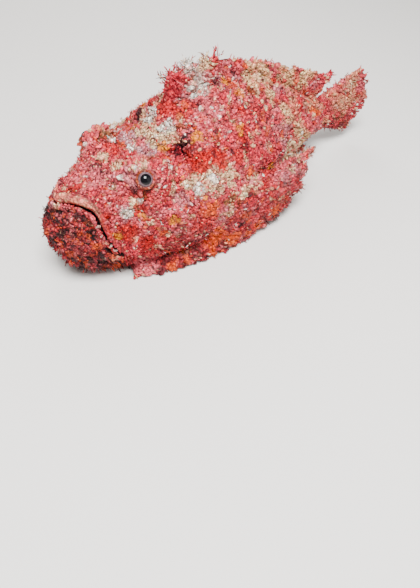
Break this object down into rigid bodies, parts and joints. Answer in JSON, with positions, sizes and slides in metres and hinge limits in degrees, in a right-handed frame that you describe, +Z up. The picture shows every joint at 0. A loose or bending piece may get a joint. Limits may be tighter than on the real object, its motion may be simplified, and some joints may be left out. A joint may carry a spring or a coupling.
{
  "type": "reef stonefish, life size still model",
  "caption": "Life-size still model of a reef stonefish lying on its belly, mouth upturned, dorsal spines raised and tail swung a little to its left.",
  "frame": {"origin": "on the floor, under the middle of the fish's overall box", "axes": "+Z up, -X towards the nose, -Y to the fish's left side, X is the longest extent"},
  "size_m": [0.3559, 0.1339, 0.1341],
  "materials": {
    "skin": "warty skin, rose and red mottled with cream and orange",
    "jaw_skin": "warty skin, dark red with orange specks",
    "dorsal_membrane": "thick fin skin, pale cream to rose",
    "fin_membrane": "thick fin skin, red to orange",
    "eye": "wet, black pupil with a pale ring"
  },
  "bodies": {
    "root": {"head": "skin", "lower_jaw": "jaw_skin", "trunk": "skin", "tail": "skin", "dorsal_fin_spiny": "dorsal_membrane", "dorsal_fin_soft": "dorsal_membrane", "anal_fin": "fin_membrane", "caudal_fin": "fin_membrane", "pectoral_fin_left": "fin_membrane", "pectoral_fin_right": "fin_membrane", "pelvic_fin_left": "fin_membrane", "pelvic_fin_right": "fin_membrane", "eye_left": "eye", "eye_right": "eye"}
  },
  "joints": []
}
